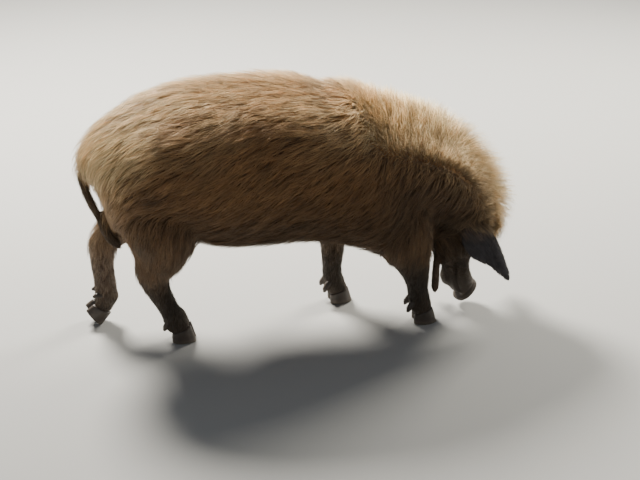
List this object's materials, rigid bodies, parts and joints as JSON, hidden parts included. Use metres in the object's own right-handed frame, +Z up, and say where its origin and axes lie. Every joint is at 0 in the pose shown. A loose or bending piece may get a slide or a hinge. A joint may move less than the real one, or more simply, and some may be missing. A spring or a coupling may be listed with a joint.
{
  "type": "kunekune pig",
  "caption": "Life-size kunekune pig standing still with its head down to graze, ginger coat with a long mane, flopped ears, hanging tassels and cloven hooves",
  "frame": {"origin": "on the floor, under the middle of the whole animal's bounding box", "axes": "+X from the rump to the head, +Y to the animal's left side, +Z up"},
  "size_m": [0.9944, 0.3758, 0.5959],
  "materials": {
    "coat": "long soft hair over skin, with bare snout skin at the nose",
    "bare_skin": "thin dark skin with a little short hair",
    "horn": "dark hoof horn, worn",
    "eye": "wet, glossy"
  },
  "bodies": {
    "root": {"head": "coat", "neck": "coat", "trunk": "coat", "tail": "coat", "leg_fore_left": "coat", "leg_fore_right": "coat", "leg_hind_left": "coat", "leg_hind_right": "coat", "ear_left": "bare_skin", "eye_left": "eye", "tassel_left": "coat", "ear_right": "bare_skin", "eye_right": "eye", "tassel_right": "coat", "leg_fore_left_hoof_inner": "horn", "leg_fore_left_dewclaw_inner": "horn", "leg_fore_left_hoof_outer": "horn", "leg_fore_left_dewclaw_outer": "horn", "leg_fore_right_hoof_inner": "horn", "leg_fore_right_dewclaw_inner": "horn", "leg_fore_right_hoof_outer": "horn", "leg_fore_right_dewclaw_outer": "horn", "leg_hind_left_hoof_inner": "horn", "leg_hind_left_dewclaw_inner": "horn", "leg_hind_left_hoof_outer": "horn", "leg_hind_left_dewclaw_outer": "horn", "leg_hind_right_hoof_inner": "horn", "leg_hind_right_dewclaw_inner": "horn", "leg_hind_right_hoof_outer": "horn", "leg_hind_right_dewclaw_outer": "horn"}
  },
  "joints": []
}
